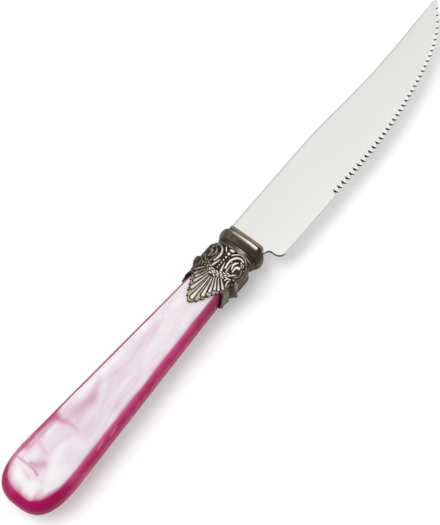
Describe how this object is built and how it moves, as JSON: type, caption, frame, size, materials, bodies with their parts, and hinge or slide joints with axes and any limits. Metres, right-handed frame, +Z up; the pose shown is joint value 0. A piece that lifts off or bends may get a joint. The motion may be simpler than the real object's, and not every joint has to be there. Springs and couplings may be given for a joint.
{
  "type": "steak knife",
  "caption": "Steak knife with a serrated stamped blade, a cast ferrule with leaf ornament and a tapered pearl handle with a rounded butt.",
  "frame": {"origin": "under the middle of the knife's box, on the surface that it lies on", "axes": "+X along the knife towards the blade's tip, +Y across the blade towards its spine, +Z up out of the blade's front face"},
  "size_m": [0.236, 0.024, 0.0146],
  "materials": {
    "blade_steel": "satin stamped stainless sheet",
    "antiqued_metal": "cast, antiqued dark in the recesses and rubbed bright on the high places",
    "pearl_acrylic": "polished pearl swirl, pale on the faces and deep pink at the sides",
    "resin": "cured adhesive"
  },
  "bodies": {
    "root": {"blade": "blade_steel", "ferrule": "antiqued_metal", "handle": "pearl_acrylic", "tang_resin": "resin"}
  },
  "joints": []
}
